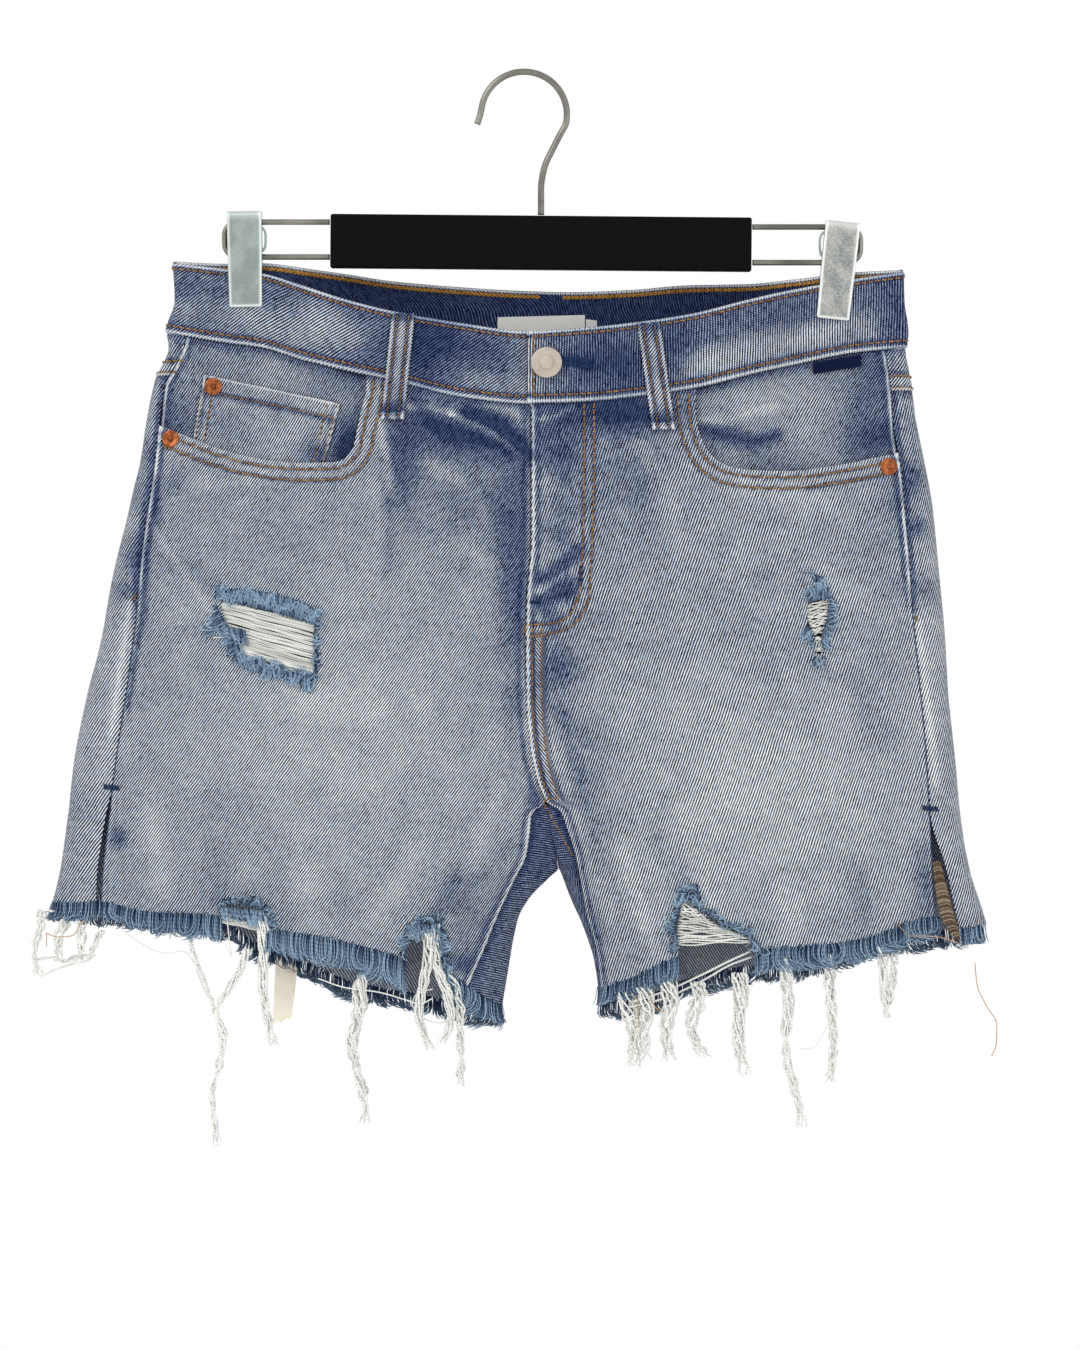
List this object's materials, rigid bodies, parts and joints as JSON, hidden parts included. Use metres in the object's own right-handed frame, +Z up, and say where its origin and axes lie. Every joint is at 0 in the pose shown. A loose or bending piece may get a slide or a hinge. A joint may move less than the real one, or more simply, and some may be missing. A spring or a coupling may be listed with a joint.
{
  "type": "denim shorts on a clip hanger",
  "caption": "Light-blue denim shorts with a raw fringed hem, ripped thighs and dangling white threads, clipped by the waistband to a black hanger.",
  "frame": {"origin": "underside of the hanger hook's wire at its top, where it bears on its rail", "axes": "+Z up, -Y out of the front of the shorts, +X to the wearer's left"},
  "size_m": [0.5141, 0.0682, 0.571],
  "materials": {
    "denim": "faded indigo twill, matte",
    "fringe": "frayed indigo yarn, matte",
    "white_thread": "undyed cotton yarn, matte",
    "label": "woven satin label, soft sheen",
    "navy_label": "woven tab, soft sheen",
    "cream_label": "printed cotton tape, matte",
    "nickel": "worn nickel plate",
    "copper": "satin copper",
    "black_plastic": "black soft sheen",
    "steel": "bright zinc-plated wire",
    "zinc": "galvanised, spangled"
  },
  "bodies": {
    "root": {"back_left": "denim", "back_pocket_left": "denim", "back_pocket_right": "denim", "back_right": "denim", "belt_loop_back": "denim", "belt_loop_back_left": "denim", "belt_loop_back_right": "denim", "belt_loop_front_left": "denim", "belt_loop_front_right": "denim", "button": "nickel", "care_tag": "cream_label", "clip_left": "zinc", "clip_right": "zinc", "clip_spring_left": "zinc", "clip_spring_right": "zinc", "coin_pocket": "denim", "fly_shield": "denim", "fringe_back_left": "fringe", "fringe_back_right": "fringe", "fringe_front_left_inner": "fringe", "fringe_front_left_outer": "fringe", "fringe_front_right_inner": "fringe", "fringe_front_right_outer": "fringe", "front_left": "denim", "front_right": "denim", "hanger_bar": "black_plastic", "hanger_hook": "steel", "hanger_rod_left": "steel", "hanger_rod_right": "steel", "hem_threads_left": "white_thread", "pocket_facing_left": "denim", "pocket_facing_right": "denim", "rip_threads_left": "white_thread", "rip_threads_right": "white_thread", "rivet_coin": "copper", "rivet_left": "copper", "rivet_right": "copper", "side_tab": "navy_label", "size_tab": "label", "tassels_left": "white_thread", "tassels_right": "white_thread", "waist_label": "label", "waistband_left": "denim", "waistband_right": "denim", "yoke_left": "denim", "yoke_right": "denim"}
  },
  "joints": []
}
